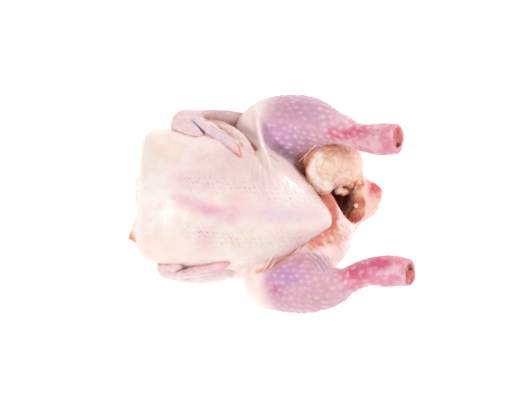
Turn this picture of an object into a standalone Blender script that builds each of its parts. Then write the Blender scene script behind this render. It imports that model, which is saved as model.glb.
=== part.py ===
"""A whole raw chicken, plucked, drawn and untied, lying on its back.

Frame: metres, +Z up. +X runs from the neck to the tail, +Y to the bird's left side.
The origin is under the middle of the bird, on the surface that it lies on.

The body is one piece of meat and skin, so it is one solid. It is built as a set of
closed lofts (breast, back, tail, thighs, drumsticks, folded wings, fat), which a voxel
remesh grows together. The belly cavity is then cut, and the flat spot that it rests on.
"""

import math

import bmesh
import bpy
from mathutils import Matrix, Vector

MM = 0.001

# ---------------------------------------------------------------- driving dimensions
BODY_ROLL = math.radians(9)  # the bird leans a little to its right side
RING_SIDES = 20
BODY_SQUARENESS = 2.3  # 2 is an ellipse; more is boxier
REMESH_VOXEL = 2.2 * MM
SMOOTHING_STEPS = 5
TRIANGLE_SHARE = 0.12  # of the remeshed surface's triangles
REST_DEPTH = 3.0 * MM  # the flesh flattens this much where it rests
FLESH_COLOUR = (0.86, 0.66, 0.62, 1.0)
FLESH_ROUGHNESS = 0.42

# Sections across the body, in millimetres:
# x, middle y, middle z, half width, height above the middle, depth below it
BREAST = [
    (-123, -8, 57, 24, 17, 18),
    (-120, -2, 55, 43, 30, 29),
    (-115, 5, 52, 54, 41, 38),
    (-109, 7, 50, 58, 47, 43),
    (-98, 6, 50, 61, 52, 48),
    (-80, 6, 50, 62, 56, 50),
    (-55, 6, 50, 62, 58, 50),
    (-30, 5, 50, 61, 57, 50),
    (-10, 3, 51, 57, 53, 48),
    (8, 0, 54, 48, 46, 40),
    (26, -4, 58, 34, 36, 28),
    (39, -8, 62, 22, 26, 16),
    (49, -11, 67, 12, 16, 10),
    (55, -13, 72, 4, 4, 4),
]
BACK = [
    (-112, 2, 34, 20, 16, 20),
    (-104, 3, 31, 36, 26, 28),
    (-80, 4, 28, 48, 30, 28),
    (-40, 4, 28, 52, 30, 28),
    (0, 3, 29, 52, 32, 29),
    (28, 1, 30, 51, 31, 30),
    (48, -2, 30, 48, 27, 29),
    (62, -4, 29, 43, 23, 27),
    (71, -1, 28, 35, 19, 24),
    (79, 4, 27, 26, 15, 18),
    (86, 7, 27, 16, 9, 10),
]

# Limbs, in millimetres: x, y, z along the middle, half width, half thickness
LEFT_DRUMSTICK = [
    (-23, 74, 46, 8, 9),
    (-17, 73, 47, 17, 17),
    (-8, 72, 50, 22, 21),
    (6, 72, 54, 26, 24),
    (20, 72, 59, 27, 25),
    (34, 72, 64, 24, 23),
    (46, 72, 69, 18.5, 18),
    (58, 69.5, 74, 14.5, 14.5),
    (70, 65, 79, 12, 12),
    (80, 61, 83, 12, 12),
    (90, 60, 86, 13.2, 12.5),
    (98, 59.4, 89, 14, 13),
    (108, 59.6, 92.5, 13.3, 12.5),
    (114, 60, 94.5, 12.4, 12),
    (120, 60, 96.5, 11, 11),
]
RIGHT_DRUMSTICK = [
    (-19, -74, 42, 6, 8),
    (-13, -73.5, 43, 14, 15),
    (-5, -73, 45, 20, 20),
    (8, -72, 49, 24.5, 24),
    (24, -72.5, 55, 26, 25),
    (40, -73.5, 61, 23, 22),
    (54, -74, 67, 17.5, 17),
    (64, -72.3, 71, 14.2, 14),
    (74, -66.8, 75.5, 12.6, 12.5),
    (84, -61.7, 80, 12.6, 12),
    (94, -60, 83, 13.4, 12.5),
    (102, -59.9, 86, 14.4, 13.3),
    (110, -59.6, 89, 13.7, 13),
    (118, -60.3, 92, 12.9, 12.3),
    (127, -61, 95, 11.2, 11),
]
LEFT_THIGH = [
    (46, 30, 32, 12, 14),
    (34, 36, 33, 26, 24),
    (16, 46, 37, 30, 27),
    (0, 60, 42, 27, 25),
    (-10, 70, 46, 19, 19),
    (-16, 75, 48, 8, 8),
]
RIGHT_THIGH = [
    (73, -18, 34, 8, 12),
    (65, -24, 35, 16, 20),
    (50, -33, 36, 24, 25),
    (32, -42, 36, 30, 27),
    (12, -54, 38, 27, 25),
    (-3, -65, 40, 20, 20),
    (-12, -72, 41, 8, 8),
]
LEFT_UPPER_WING = [
    (-88, 46, 38, 10, 12),
    (-76, 56, 38, 16, 17),
    (-50, 66, 36, 14, 15),
    (-26, 73, 33, 12, 12),
    (-16, 76, 32, 5, 5),
]
LEFT_FOREARM = [
    (-14, 74, 35, 6, 6),
    (-24, 73, 37, 12, 12),
    (-48, 73, 42, 12, 13),
    (-70, 74, 47, 10.5, 11),
    (-84, 72, 51, 11, 11),
    (-92, 69, 54, 5, 6),
]
LEFT_HAND = [
    (-93, 67, 58, 4, 4),
    (-86, 68, 60, 9, 8),
    (-66, 64, 69, 10, 7),
    (-46, 55, 78, 9, 6),
    (-31, 44, 87, 6, 5),
    (-21, 35, 93, 2.5, 2.5),
]
LEFT_THUMB = [
    (-87, 77, 58, 4, 3),
    (-80, 74, 64, 8, 5),
    (-69, 65, 73, 6, 4.5),
    (-60, 58, 79, 4, 3.5),
]
RIGHT_UPPER_WING = [
    (-92, -38, 34, 10, 12),
    (-80, -46, 34, 16, 17),
    (-56, -54, 32, 14, 15),
    (-32, -58, 29, 12, 12),
    (-20, -61, 28, 5, 5),
]
RIGHT_FOREARM = [
    (-18, -62, 32, 6, 6),
    (-30, -57, 33, 10, 11),
    (-44, -58, 34, 11, 12),
    (-64, -59, 38, 11.5, 12),
    (-84, -58, 43, 11, 11),
    (-96, -56, 48, 9, 10),
    (-102, -53, 51, 4, 5),
]
RIGHT_HAND = [
    (-102, -52, 54, 4, 4),
    (-95, -54, 56, 8.5, 8),
    (-76, -57, 62, 8, 7),
    (-56, -56, 68, 7, 6),
    (-44, -53, 72, 5, 4),
    (-37, -50, 75, 2.5, 2.5),
]
TAIL = [
    (64, 4, 26, 20, 13),
    (76, 6, 28, 22, 13),
    (85, 7, 31, 20, 10),
    (92, 8, 34, 14, 7),
    (98, 11, 37, 7, 4.5),
    (102, 13, 39, 2.5, 2.5),
]
FAT_PAD = [
    (33, 36, 44, 8, 12),
    (40, 37, 48, 17, 22),
    (52, 38, 50, 21.5, 26),
    (64, 37, 48, 21.5, 26),
    (74, 34, 45, 16, 21),
    (81, 30, 41, 7, 12),
]
NECK_SKIN = [
    (-129, -26, 34, 3, 2.5),
    (-125, -27, 35, 10, 5),
    (-119, -26, 36, 14, 9),
    (-110, -18, 36, 20, 12),
]
LEFT_WEB = [
    (-18, 80, 54, 4, 14),
    (-14, 66, 62, 5, 22),
    (-9, 50, 72, 6, 24),
    (-3, 34, 82, 6, 18),
]
CAVITY = [
    (94, 7, 92, 13, 10),
    (82, 5, 68, 14, 12),
    (68, 3, 48, 14, 14),
    (54, 2, 40, 19, 16),
    (36, 2, 41, 28, 22),
    (14, 3, 42, 35, 28),
    (-16, 4, 43, 39, 31),
    (-50, 5, 46, 36, 29),
    (-78, 5, 48, 25, 20),
    (-92, 5, 48, 8, 7),
]


# ---------------------------------------------------------------- modelling helpers
def new_collection(name):
    collection = bpy.data.collections.new(name)
    bpy.context.scene.collection.children.link(collection)
    return collection


def power(value, exponent):
    """A signed power, which turns an ellipse's cosine and sine into a boxier section's."""
    return math.copysign(abs(value) ** exponent, value)


def ring(middle, across, upwards, downwards, squareness):
    """Points round one section: across and upwards are half-axis vectors from its middle."""
    points = []
    for step in range(RING_SIDES):
        angle = 2 * math.pi * step / RING_SIDES
        side = power(math.cos(angle), 2 / squareness)
        rise = power(math.sin(angle), 2 / squareness)
        vertical = upwards if rise >= 0 else downwards
        points.append(middle + across * side + vertical * rise)
    return points


def loft(name, rings, collection):
    """A closed surface through the rings, with a fan at each end, facing outwards."""
    mesh = bmesh.new()
    rows = [[mesh.verts.new(point) for point in points] for points in rings]
    for row, following in zip(rows, rows[1:]):
        for step in range(RING_SIDES):
            after = (step + 1) % RING_SIDES
            mesh.faces.new((row[step], row[after], following[after], following[step]))
    for row in (rows[0], rows[-1]):
        centre = sum((vert.co for vert in row), Vector()) / RING_SIDES
        pole = mesh.verts.new(centre)
        for step in range(RING_SIDES):
            mesh.faces.new((row[step], row[(step + 1) % RING_SIDES], pole))
    bmesh.ops.recalc_face_normals(mesh, faces=mesh.faces)
    data = bpy.data.meshes.new(name)
    mesh.to_mesh(data)
    mesh.free()
    made = bpy.data.objects.new(name, data)
    collection.objects.link(made)
    soften = made.modifiers.new("soften", "SUBSURF")
    soften.levels = soften.render_levels = 1
    return made


def body_loft(name, stations, collection):
    """A loft through upright sections, each turned by the bird's lean about its middle."""
    lean = Matrix.Rotation(BODY_ROLL, 3, "X")
    rings = []
    for x, y, z, half_width, above, below in stations:
        across = lean @ Vector((0, half_width, 0)) * MM
        upwards = lean @ Vector((0, 0, above)) * MM
        downwards = lean @ Vector((0, 0, below)) * MM
        middle = Vector((x, y, z)) * MM
        rings.append(ring(middle, across, upwards, downwards, BODY_SQUARENESS))
    return loft(name, rings, collection)


def limb_loft(name, stations, collection):
    """A loft whose sections stand square to the line through the stations' middles."""
    middles = [Vector(station[:3]) * MM for station in stations]
    last = len(middles) - 1
    rings = []
    for index, station in enumerate(stations):
        forward = middles[min(index + 1, last)] - middles[max(index - 1, 0)]
        across = Vector((0, 0, 1)).cross(forward).normalized()
        upwards = forward.cross(across).normalized()
        half_width, half_thickness = station[3:]
        across = across * half_width * MM
        upwards = upwards * half_thickness * MM
        rings.append(ring(middles[index], across, upwards, upwards, 2))
    return loft(name, rings, collection)


def block(name, low, high, collection):
    """A box between two corners."""
    bpy.ops.mesh.primitive_cube_add(size=1)
    made = bpy.context.active_object
    made.name = name
    made.data.transform(Matrix.Diagonal((*(high - low), 1)))
    made.location = (low + high) / 2
    for holder in list(made.users_collection):
        holder.objects.unlink(made)
    collection.objects.link(made)
    return made


def joined(name, forms, collection):
    """One mesh object that holds every form's evaluated mesh; the forms are removed."""
    bpy.context.view_layer.update()
    graph = bpy.context.evaluated_depsgraph_get()
    mesh = bmesh.new()
    for form in forms:
        evaluated = bpy.data.meshes.new_from_object(form.evaluated_get(graph))
        evaluated.transform(form.matrix_world)
        mesh.from_mesh(evaluated)
    for form in forms:
        bpy.data.objects.remove(form)
    data = bpy.data.meshes.new(name)
    mesh.to_mesh(data)
    mesh.free()
    made = bpy.data.objects.new(name, data)
    collection.objects.link(made)
    return made


def cut(target, cutter, name):
    cutter.hide_render = True
    cutter.display_type = "WIRE"
    modifier = target.modifiers.new(name, "BOOLEAN")
    modifier.operation = "DIFFERENCE"
    modifier.object = cutter


def flesh_material():
    material = bpy.data.materials.new("raw_skin")
    material.use_nodes = True
    shader = material.node_tree.nodes["Principled BSDF"]
    shader.inputs["Base Color"].default_value = FLESH_COLOUR
    shader.inputs["Roughness"].default_value = FLESH_ROUGHNESS
    shader.inputs["Metallic"].default_value = 0.0
    return material


# ---------------------------------------------------------------- the bird
def build_forms(collection):
    body = {"breast": BREAST, "back": BACK}
    limbs = {
        "left_drumstick": LEFT_DRUMSTICK,
        "right_drumstick": RIGHT_DRUMSTICK,
        "left_thigh": LEFT_THIGH,
        "right_thigh": RIGHT_THIGH,
        "left_upper_wing": LEFT_UPPER_WING,
        "left_forearm": LEFT_FOREARM,
        "left_hand": LEFT_HAND,
        "left_thumb": LEFT_THUMB,
        "right_upper_wing": RIGHT_UPPER_WING,
        "right_forearm": RIGHT_FOREARM,
        "right_hand": RIGHT_HAND,
        "tail": TAIL,
        "fat_pad": FAT_PAD,
        "neck_skin": NECK_SKIN,
        "left_web": LEFT_WEB,
    }
    forms = [body_loft(name, stations, collection) for name, stations in body.items()]
    forms += [limb_loft(name, stations, collection) for name, stations in limbs.items()]
    return forms


def build_chicken(collection, cutters):
    chicken = joined("chicken", build_forms(collection), collection)

    grow_together = chicken.modifiers.new("grow_together", "REMESH")
    grow_together.mode = "VOXEL"
    grow_together.voxel_size = REMESH_VOXEL

    cut(chicken, limb_loft("cavity_cutter", CAVITY, cutters), "cavity")

    even_out = chicken.modifiers.new("even_out", "REMESH")
    even_out.mode = "VOXEL"
    even_out.voxel_size = REMESH_VOXEL

    smooth = chicken.modifiers.new("soft_joins", "SMOOTH")
    smooth.factor = 0.5
    smooth.iterations = SMOOTHING_STEPS

    fewer = chicken.modifiers.new("fewer_faces", "DECIMATE")
    fewer.ratio = TRIANGLE_SHARE

    low = Vector((-0.2, -0.2, -0.05))
    high = Vector((0.2, 0.2, 0))
    cut(chicken, block("table_cutter", low, high, cutters), "flat_spot")

    chicken.data.materials.append(flesh_material())
    chicken.location.z = -REST_DEPTH
    return chicken


def main():
    for leftover in list(bpy.data.objects):
        bpy.data.objects.remove(leftover)
    cutters = new_collection("cutters")
    cutters.hide_render = True
    build_chicken(new_collection("whole_raw_chicken"), cutters)


main()
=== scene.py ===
"""The looks of a whole raw chicken on its back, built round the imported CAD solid.

The bird is sculpted as distances on a grid: forms are added to each other and cut from
each other with soft joins, the surface is read off as a mesh, and then fine relief
(feather follicles, goose bumps, wrinkles) and a painted tint are laid on its points.
Lengths are in millimetres until a mesh is made. Heights count from SINK below the table,
as in the CAD model, whose flesh is flattened by that much where it rests.
"""

import math

import bpy
import numpy as np
import openvdb
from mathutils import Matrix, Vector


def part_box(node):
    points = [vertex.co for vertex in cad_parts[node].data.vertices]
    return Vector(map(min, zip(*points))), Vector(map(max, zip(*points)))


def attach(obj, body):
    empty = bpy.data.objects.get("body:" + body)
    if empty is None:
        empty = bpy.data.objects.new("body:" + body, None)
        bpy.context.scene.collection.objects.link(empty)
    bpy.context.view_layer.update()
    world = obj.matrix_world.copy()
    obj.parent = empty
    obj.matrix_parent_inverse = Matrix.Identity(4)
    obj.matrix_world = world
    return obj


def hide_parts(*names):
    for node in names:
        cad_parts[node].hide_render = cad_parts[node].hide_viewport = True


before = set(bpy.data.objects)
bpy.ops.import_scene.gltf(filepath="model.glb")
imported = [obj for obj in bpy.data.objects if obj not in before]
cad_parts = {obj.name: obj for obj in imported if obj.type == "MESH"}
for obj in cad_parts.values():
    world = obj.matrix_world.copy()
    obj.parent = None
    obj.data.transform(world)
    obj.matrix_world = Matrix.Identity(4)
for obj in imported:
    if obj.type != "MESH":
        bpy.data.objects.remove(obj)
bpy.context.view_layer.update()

MM = 0.001
SINK = 3.0
LEAN = math.radians(9)  # the bird leans a little to its right side
TRUNK_SQUARENESS = 2.3  # 2 is an ellipse; more is boxier

# Sculpting: the distance that an empty grid starts from, how far outside a limb its
# distances are worked out, the steps along a limb, its least radius, the steps of
# each grid, and the least radius that the strands' grid can hold
FAR = 60.0
REACH = 12.0
LIMB_STEP = 3.0
LEAST_RADIUS = 0.3
SKIN_VOXEL = 1.42
WING_VOXEL = 0.8
FAT_VOXEL = 0.9
STUMP_VOXEL = 0.5
STRAND_VOXEL = 0.5
STRAND_TIP = 0.42

# -------------------- colours, sRGB 0..255
# Skin in general, from white to violet
PALE = (253, 236, 231)
WHITE = (255, 248, 246)
CREAM = (255, 240, 222)
BUFF = (252, 230, 214)
# Painted shade: the breast's upper side, which faces away from the key lamp
BREAST_SHADE_GREY = (230, 204, 202)
ROSE = (240, 192, 208)
LILAC = (236, 212, 226)
FRONT_LILAC = (228, 206, 226)
KEEL_PINK = (236, 170, 196)
# Legs
MAUVE = (219, 163, 183)
VIOLET = (204, 154, 200)
SLATE = (172, 140, 168)
ORCHID = (212, 122, 172)
# The leg's own mauve, deepened as painted shade along the left leg's far edge
EDGE_SHADE_MAUVE = (206, 156, 180)
THIGH_MAUVE = (190, 142, 164)
THIGH_LILAC = (232, 210, 226)
# Painted shade in the valleys of the right thigh's folds
FOLD_SHADE_PINK = (210, 162, 158)
MAGENTA = (224, 96, 136)
PINK = (234, 152, 170)
HOCK_PINK = (226, 140, 158)
HOCK_RED = (214, 92, 124)
HOCK_PALE = (246, 206, 216)
# Pale knee skin, painted lighter as light falling on both knees
KNEE_LIT_PALE = (255, 228, 222)
KNEE_LIT_WHITE = (255, 242, 238)
WEB_WHITE = (255, 242, 236)
BUMP_PALE = (254, 232, 238)
FLECK_PALE = (250, 214, 222)
# Painted shade in creases and gaps and on the lines where parts touch, over the skin's own
# tan in places
CREASE_SHADE_TAN = (226, 160, 118)
CREASE_SHADE_BROWN = (120, 62, 44)
GAP_SHADE_TAN = (214, 160, 142)
GAP_SHADE_BROWN = (140, 80, 62)
SHADE_BROWN = (158, 88, 74)
CONTACT_SHADE_RED = (222, 136, 116)
# Vent, belly cavity, tail and neck
RUST = (222, 112, 78)
PEACH = (255, 196, 166)
# The cavity's own red flesh, darkened as painted shade lower down, further in and in its dark
# hole
CAVITY_LOW_SHADE = (222, 116, 88)
CAVITY_DEEP_SHADE = (150, 40, 26)
CAVITY_HOLE_SHADE = (136, 52, 36)
AMBER = (226, 140, 100)
TAIL_PINK = (248, 208, 196)
SORE_RED = (226, 92, 102)
ORANGE = (240, 164, 120)
MUSCLE = (240, 160, 140)
MUSCLE_RED = (220, 92, 72)
MUSCLE_FAT = (255, 230, 216)
FLAP_CREAM = (255, 236, 228)
FLAP_PINK = (230, 166, 150)
WALL_PEACH = (252, 194, 158)
# A painted highlight on the vent wall's bumps and painted shade in its dents
WALL_BUMP_HIGHLIGHT = (255, 218, 182)
WALL_DENT_SHADE = (206, 110, 76)
WALL_RED = (212, 84, 54)
# Fat: its own colours, with a painted highlight on the roll and painted shade towards its top
# and left, in its creases and under its crumbs
FAT_PALE = (255, 220, 200)
FAT_ROLL_CREAM_HIGHLIGHT = (255, 240, 226)
FAT_MOTTLE = (255, 234, 220)
FAT_TAN_SHADE = (236, 180, 148)
FAT_LOW = (236, 166, 136)
FAT_CREASE_SHADE = (226, 160, 128)
FAT_ORANGE = (236, 150, 108)
FAT_UNDERSIDE_SHADE = (230, 132, 90)
FAT_TOP_SHADE = (210, 130, 98)
VEIN = (222, 148, 118)
# Cut ends of the legs: the meat's reds, with a painted highlight on the lobes and painted
# shade in the slits
STUMP_RING = (246, 158, 160)
MEAT_LOBE_HIGHLIGHT = (240, 138, 132)
MEAT_ROSY = (206, 66, 68)
MEAT_RED = (196, 50, 56)
MEAT_SLIT_SHADE = (104, 34, 38)
# Wings and strands of skin, with painted shade low on the left wing, in the gap by its flap
# and in the slits
WING_PALE = (244, 218, 218)
WING_CREAM = (250, 226, 216)
WING_LILAC = (234, 220, 234)
WING_SHADE = (208, 170, 168)
WING_TAN = (190, 138, 124)
WING_GAP_SHADE = (170, 106, 86)
WING_RED = (216, 120, 120)
LEFT_SLIT_SHADE = (176, 116, 118)
RIGHT_SLIT_SHADE = (176, 100, 100)
LEFT_TIP_PINK = (244, 156, 162)
RIGHT_TIP_PINK = (248, 166, 174)
STRAND_CREAM = (253, 232, 220)
# Colours that the materials mix in
BLUSH = (244, 208, 206)
SKIN_BLOOD = (206, 92, 76)
TICK = (214, 172, 158)
QUILL = (226, 150, 106)
SINEW = (252, 214, 196)
FLESH_BLOOD = (206, 100, 84)

# -------------------- the body's forms
# x, middle y, middle z, half width, height above the middle, depth below it
BREAST = [
    (-121, -4, 55, 44, 32, 30),
    (-116, 4, 52, 54, 42, 38),
    (-109, 7, 50, 58.5, 48, 43),
    (-98, 6, 50, 61, 53, 48),
    (-80, 6, 50, 62, 56.5, 50),
    (-55, 6, 50, 62, 58, 50),
    (-30, 5, 50, 61, 57, 50),
    (-10, 3, 51, 56.5, 53, 48),
    (8, 0, 54, 48, 46, 40),
    (26, -4, 58, 34.5, 36, 28),
    (39, -8, 62, 22, 26.5, 16),
    (48, -11, 66.5, 12.5, 17, 10),
    (54, -13.5, 70, 6, 9, 6),
]
BACK = [
    (-112, 2, 34, 22, 18, 20),
    (-104, 3, 31, 36, 26, 28),
    (-80, 4, 28, 48, 30, 28),
    (-40, 4, 28, 52, 30, 28),
    (0, 3, 29, 52, 32, 29),
    (28, 1, 30, 51, 31, 30),
    (48, -2, 30, 48, 27, 29),
    (62, -4, 29, 43, 23, 27),
    (71, -1, 28, 35, 19, 24),
    (79, 4, 27, 26, 15, 18),
    (86, 7, 27, 16, 9, 10),
]
# x, y, z, half width, half thickness
TAIL = [
    (62, 5, 26, 21, 14),
    (74, 6, 29, 23, 14),
    (83, 6, 32, 21, 11),
    (89, 8, 35, 16, 8.5),
    (94, 10.5, 37.5, 10, 6),
    (97, 12, 39, 5, 4),
]
LEFT_THIGH = [
    (42, 30, 32, 16, 16),
    (34, 36, 33, 25, 23),
    (16, 46, 37, 29, 26),
    (-2, 60, 44, 27, 26),
    (-14, 65, 50, 18.5, 20),
]
RIGHT_THIGH = [
    (58, -27, 35, 14, 16),
    (50, -33, 36, 22, 23),
    (32, -42, 36, 29, 26),
    (12, -54, 38, 26, 24),
    (0, -64, 40, 18, 18),
]
LEFT_DRUMSTICK = [
    (-9, 73.5, 49, 14, 15),
    (-3, 72.5, 51, 22, 21),
    (8, 72, 55, 25.5, 24),
    (20, 71.5, 59, 26.4, 25),
    (34, 72, 64, 23.6, 22.5),
    (46, 70.6, 69, 18.2, 18),
    (58, 67.8, 74, 14.2, 14.3),
    (70, 63.2, 79, 11.8, 12),
    (80, 59.2, 83, 11.8, 12),
    (90, 58, 87, 13.2, 12.6),
    (98, 57.4, 91, 14.2, 13),
    (108, 57.6, 95.5, 13.8, 12.6),
    (118, 58, 100, 12.4, 12),
    (128, 58, 105, 11.5, 11.5),
]
RIGHT_DRUMSTICK = [
    (-12, -73, 43, 12.5, 13),
    (-5, -73.5, 45, 19, 19),
    (8, -72.5, 49, 24, 23.5),
    (24, -72.5, 55, 25.8, 24.5),
    (40, -73.5, 61, 22.8, 22),
    (54, -74, 67, 17.2, 16.8),
    (64, -70.8, 71, 12.7, 13.4),
    (74, -65.8, 75.5, 11.7, 12.2),
    (84, -61.7, 80, 12.1, 12),
    (94, -60, 84, 13, 12.6),
    (102, -59.9, 87.5, 14, 13.3),
    (110, -59.6, 91, 13.4, 13),
    (118, -60.3, 94.5, 12.6, 12.3),
    (126, -61, 98, 11.8, 11.6),
    (138, -62, 103, 11, 11),
]
LEFT_SHOULDER = [
    (-84, 48, 38, 14, 14),
    (-72, 56, 38, 15, 16),
    (-50, 64, 36, 13, 14),
    (-26, 70, 33, 12, 12),
]
RIGHT_SHOULDER = [
    (-86, -38, 34, 14, 14),
    (-74, -46, 34, 15, 16),
    (-52, -52, 32, 13, 14),
    (-26, -57, 30, 12, 12),
]
NECK_SKIN = [
    (-128, -31.5, 34, 1.5, 1.5),
    (-123.5, -29, 35, 7, 4),
    (-117, -27, 36, 12, 8),
    (-108, -20, 36, 16, 12),
]
# The skin stretched from the left knee up onto the breast
LEFT_WEB = [
    (-13, 77, 58, 3, 14),
    (-10, 62, 68, 3, 18),
    (-6, 48, 79, 3, 16),
    (-1, 36, 90, 2.4, 11),
    (2, 27, 97, 1, 5),
]
# The muscle bared beside the vent
VENT_MUSCLE = [
    (49, 7, 58, 6, 6),
    (52, -5, 59, 9, 8),
    (57, -18, 56, 12, 11),
    (54, -29, 51, 13, 12),
    (46, -36, 48, 9, 10),
]
# The thick edge where skin and flesh were cut, on the muscle's side of the vent
VENT_EDGE = [
    (53, 1, 57, 3, 5),
    (60, -4, 56, 4, 6),
    (66, -9, 54, 5, 8),
    (69, -17, 50, 5.5, 11),
    (68.5, -26, 46, 5.5, 12),
    (64, -35, 41, 5.5, 13),
    (57, -41, 36, 5, 13),
]
# The gap between the breast, the left thigh and the belly fat
THIGH_GAP = [
    (20, 48, 84, 3, 4),
    (25, 40, 76, 5, 6),
    (29, 31, 74, 5, 6),
    (33, 21, 73, 3, 5),
]
# The belly cavity, from above its mouth to its blind front end
CAVITY = [
    (80, 6, 84, 10, 11),
    (73, 5, 62, 11, 11),
    (65, 3, 47, 12.5, 14),
    (54, 2, 40, 19, 16),
    (36, 2, 41, 28, 22),
    (14, 3, 42, 35, 28),
    (-16, 4, 43, 39, 31),
    (-50, 5, 46, 36, 29),
    (-74, 5, 48, 22, 18),
]
# Where each drumstick is cut: a point of the cut, and the way that it faces
LEFT_CUT = ((112, 58.4, 97), (0.8, 0.0, 0.6))
RIGHT_CUT = ((123, -62, 97), (0.86, 0.0, 0.51))


# -------------------- sculpting on a grid
def smooth_curve(knots, values, at):
    """Values between the knots, on a smooth curve through all of them."""
    knots = np.asarray(knots, float)
    values = np.asarray(values, float)
    slopes = np.gradient(values, knots, axis=0)
    index = np.clip(np.searchsorted(knots, at) - 1, 0, len(knots) - 2)
    span = knots[index + 1] - knots[index]
    t = ((at - knots[index]) / span)[:, None]
    span = span[:, None]
    ease = t * t * (3 - 2 * t)
    leaving = slopes[index] * span * t * (1 - t) ** 2
    arriving = slopes[index + 1] * span * t * t * (1 - t)
    return values[index] * (1 - ease) + values[index + 1] * ease + leaving - arriving


def resample(stations, step):
    """The stations' numbers at even steps along a smooth curve through them."""
    stations = np.asarray(stations, float)
    gaps = np.linalg.norm(np.diff(stations[:, :3], axis=0), axis=1)
    along = np.concatenate([[0], np.cumsum(gaps)])
    count = max(3, int(along[-1] / step) + 1)
    return smooth_curve(along, stations, np.linspace(0, along[-1], count))


def soft_min(a, b, blend):
    """The lower of two fields, rounded off where they are within blend of each other."""
    if blend <= 0:
        return np.minimum(a, b)
    h = np.clip(0.5 + 0.5 * (b - a) / blend, 0, 1)
    return b + (a - b) * h - blend * h * (1 - h)


def unit(vector):
    """The vector, shortened or stretched to a length of 1."""
    vector = np.asarray(vector, float)
    return vector / np.linalg.norm(vector)


class Clay:
    """Distances to the flesh at the points of a grid, negative inside it."""

    def __init__(self, low, high, voxel):
        self.voxel = voxel
        spans = zip(low, high)
        self.axes = [np.arange(a, b + voxel, voxel, dtype=np.float32) for a, b in spans]
        self.field = np.full([len(axis) for axis in self.axes], FAR, np.float32)

    def window(self, low, high):
        """The part of the grid inside a box: its slices, and its x, y and z."""
        slices = []
        for axis, start, stop in zip(self.axes, low, high):
            first, last = np.searchsorted(axis, (start, stop))
            slices.append(slice(int(first), int(last)))
        x, y, z = (axis[part] for axis, part in zip(self.axes, slices))
        return tuple(slices), (x[:, None, None], y[None, :, None], z[None, None, :])

    def limb(self, stations, up=(0, 0, 1)):
        """Distances to a tube of oval section: x, y, z, half width, half thickness."""
        path = resample(stations, LIMB_STEP)
        middles = path[:, :3]
        sizes = np.maximum(path[:, 3:5], LEAST_RADIUS)
        distance = np.full(self.field.shape, FAR, np.float32)
        for index in range(len(path) - 1):
            start = middles[index]
            run = middles[index + 1] - start
            length = np.linalg.norm(run)
            forward = run / length
            across = unit(np.cross(up, forward))
            rise = np.cross(forward, across)
            reach = sizes[index : index + 2].max() + REACH
            low = np.minimum(start, start + run) - reach
            high = np.maximum(start, start + run) + reach
            part, (x, y, z) = self.window(low, high)
            if min(x.size, y.size, z.size) == 0:
                continue
            x, y, z = x - start[0], y - start[1], z - start[2]
            along = x * forward[0] + y * forward[1] + z * forward[2]
            share = np.clip(along / length, 0, 1)
            width, depth = (
                sizes[index, side] + share * (sizes[index + 1, side] - sizes[index, side])
                for side in (0, 1)
            )
            end = np.minimum(width, depth)
            u = (x * across[0] + y * across[1] + z * across[2]) / width
            v = (x * rise[0] + y * rise[1] + z * rise[2]) / depth
            w = (along - share * length) / end
            size = np.sqrt(u * u + v * v + w * w) + 1e-6
            slope = np.sqrt((u / width) ** 2 + (v / depth) ** 2 + (w / end) ** 2) + 1e-6
            distance[part] = np.minimum(distance[part], (size - 1) * size / slope)
        return distance

    def trunk(self, stations, front_round, rear_round):
        """Distances to a body of upright oval sections, leaning over as the bird does.

        Its ends are flat, and rounded off by front_round and rear_round.
        """
        stations = np.asarray(stations, float)
        x = self.axes[0]
        front, rear = stations[0, 0], stations[-1, 0]
        rows = smooth_curve(stations[:, 0], stations[:, 1:], np.clip(x, front, rear))
        y0, z0, width, above, below = (rows[:, i][:, None, None] for i in range(5))
        y = self.axes[1][None, :, None] - y0
        z = self.axes[2][None, None, :] - z0
        u = y * math.cos(LEAN) + z * math.sin(LEAN)
        v = z * math.cos(LEAN) - y * math.sin(LEAN)
        height = np.where(v > 0, above, below)
        size = np.abs(u / width) ** TRUNK_SQUARENESS + np.abs(v / height) ** TRUNK_SQUARENESS
        size = size ** (1 / TRUNK_SQUARENESS)
        slope = np.sqrt(sum(part * part for part in np.gradient(size, self.voxel)))
        least_slope = 0.008  # keeps the middle of the body finite
        distance = (size - 1) / np.maximum(slope, least_slope)
        distance = -soft_min(-distance, (x - front)[:, None, None], front_round)
        return -soft_min(-distance, (rear - x)[:, None, None], rear_round)

    def ball(self, middle, radii):
        """Distances to a ball, or to an egg shape whose radii differ."""
        x, y, z = (
            (axis - centre) / radius
            for axis, centre, radius in zip(self.axes, middle, radii)
        )
        x, y, z = x[:, None, None], y[None, :, None], z[None, None, :]
        size = np.sqrt(x * x + y * y + z * z) + 1e-6
        slope = np.sqrt((x / radii[0]) ** 2 + (y / radii[1]) ** 2 + (z / radii[2]) ** 2)
        return (size - 1) * size / (slope + 1e-6)

    def half_space(self, point, facing):
        """Distances to the flat side of all that lies past the point, the way it faces."""
        facing = unit(facing)
        x, y, z = (axis - at for axis, at in zip(self.axes, point))
        ahead = x[:, None, None] * facing[0] + y[None, :, None] * facing[1]
        return -(ahead + z[None, None, :] * facing[2])

    def add(self, distance, blend=0.0):
        self.field = soft_min(self.field, distance, blend)

    def cut(self, distance, blend=0.0):
        self.field = -soft_min(-self.field, distance, blend)

    def top_of(self, x, y):
        """The height of the flesh's highest point above (x, y), or the lowest if none."""
        across, along = (np.searchsorted(self.axes[i], at) for i, at in ((0, x), (1, y)))
        filled = np.nonzero(self.field[across, along] < 0)[0]
        return float(self.axes[2][filled.max() if filled.size else 0])

    def distance_at(self, points):
        """The field at each point, read at the nearest place on the grid."""
        places = []
        for side, axis in enumerate(self.axes):
            place = np.rint((points[:, side] - axis[0]) / self.voxel).astype(int)
            places.append(np.clip(place, 0, len(axis) - 1))
        return self.field[tuple(places)]

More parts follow.
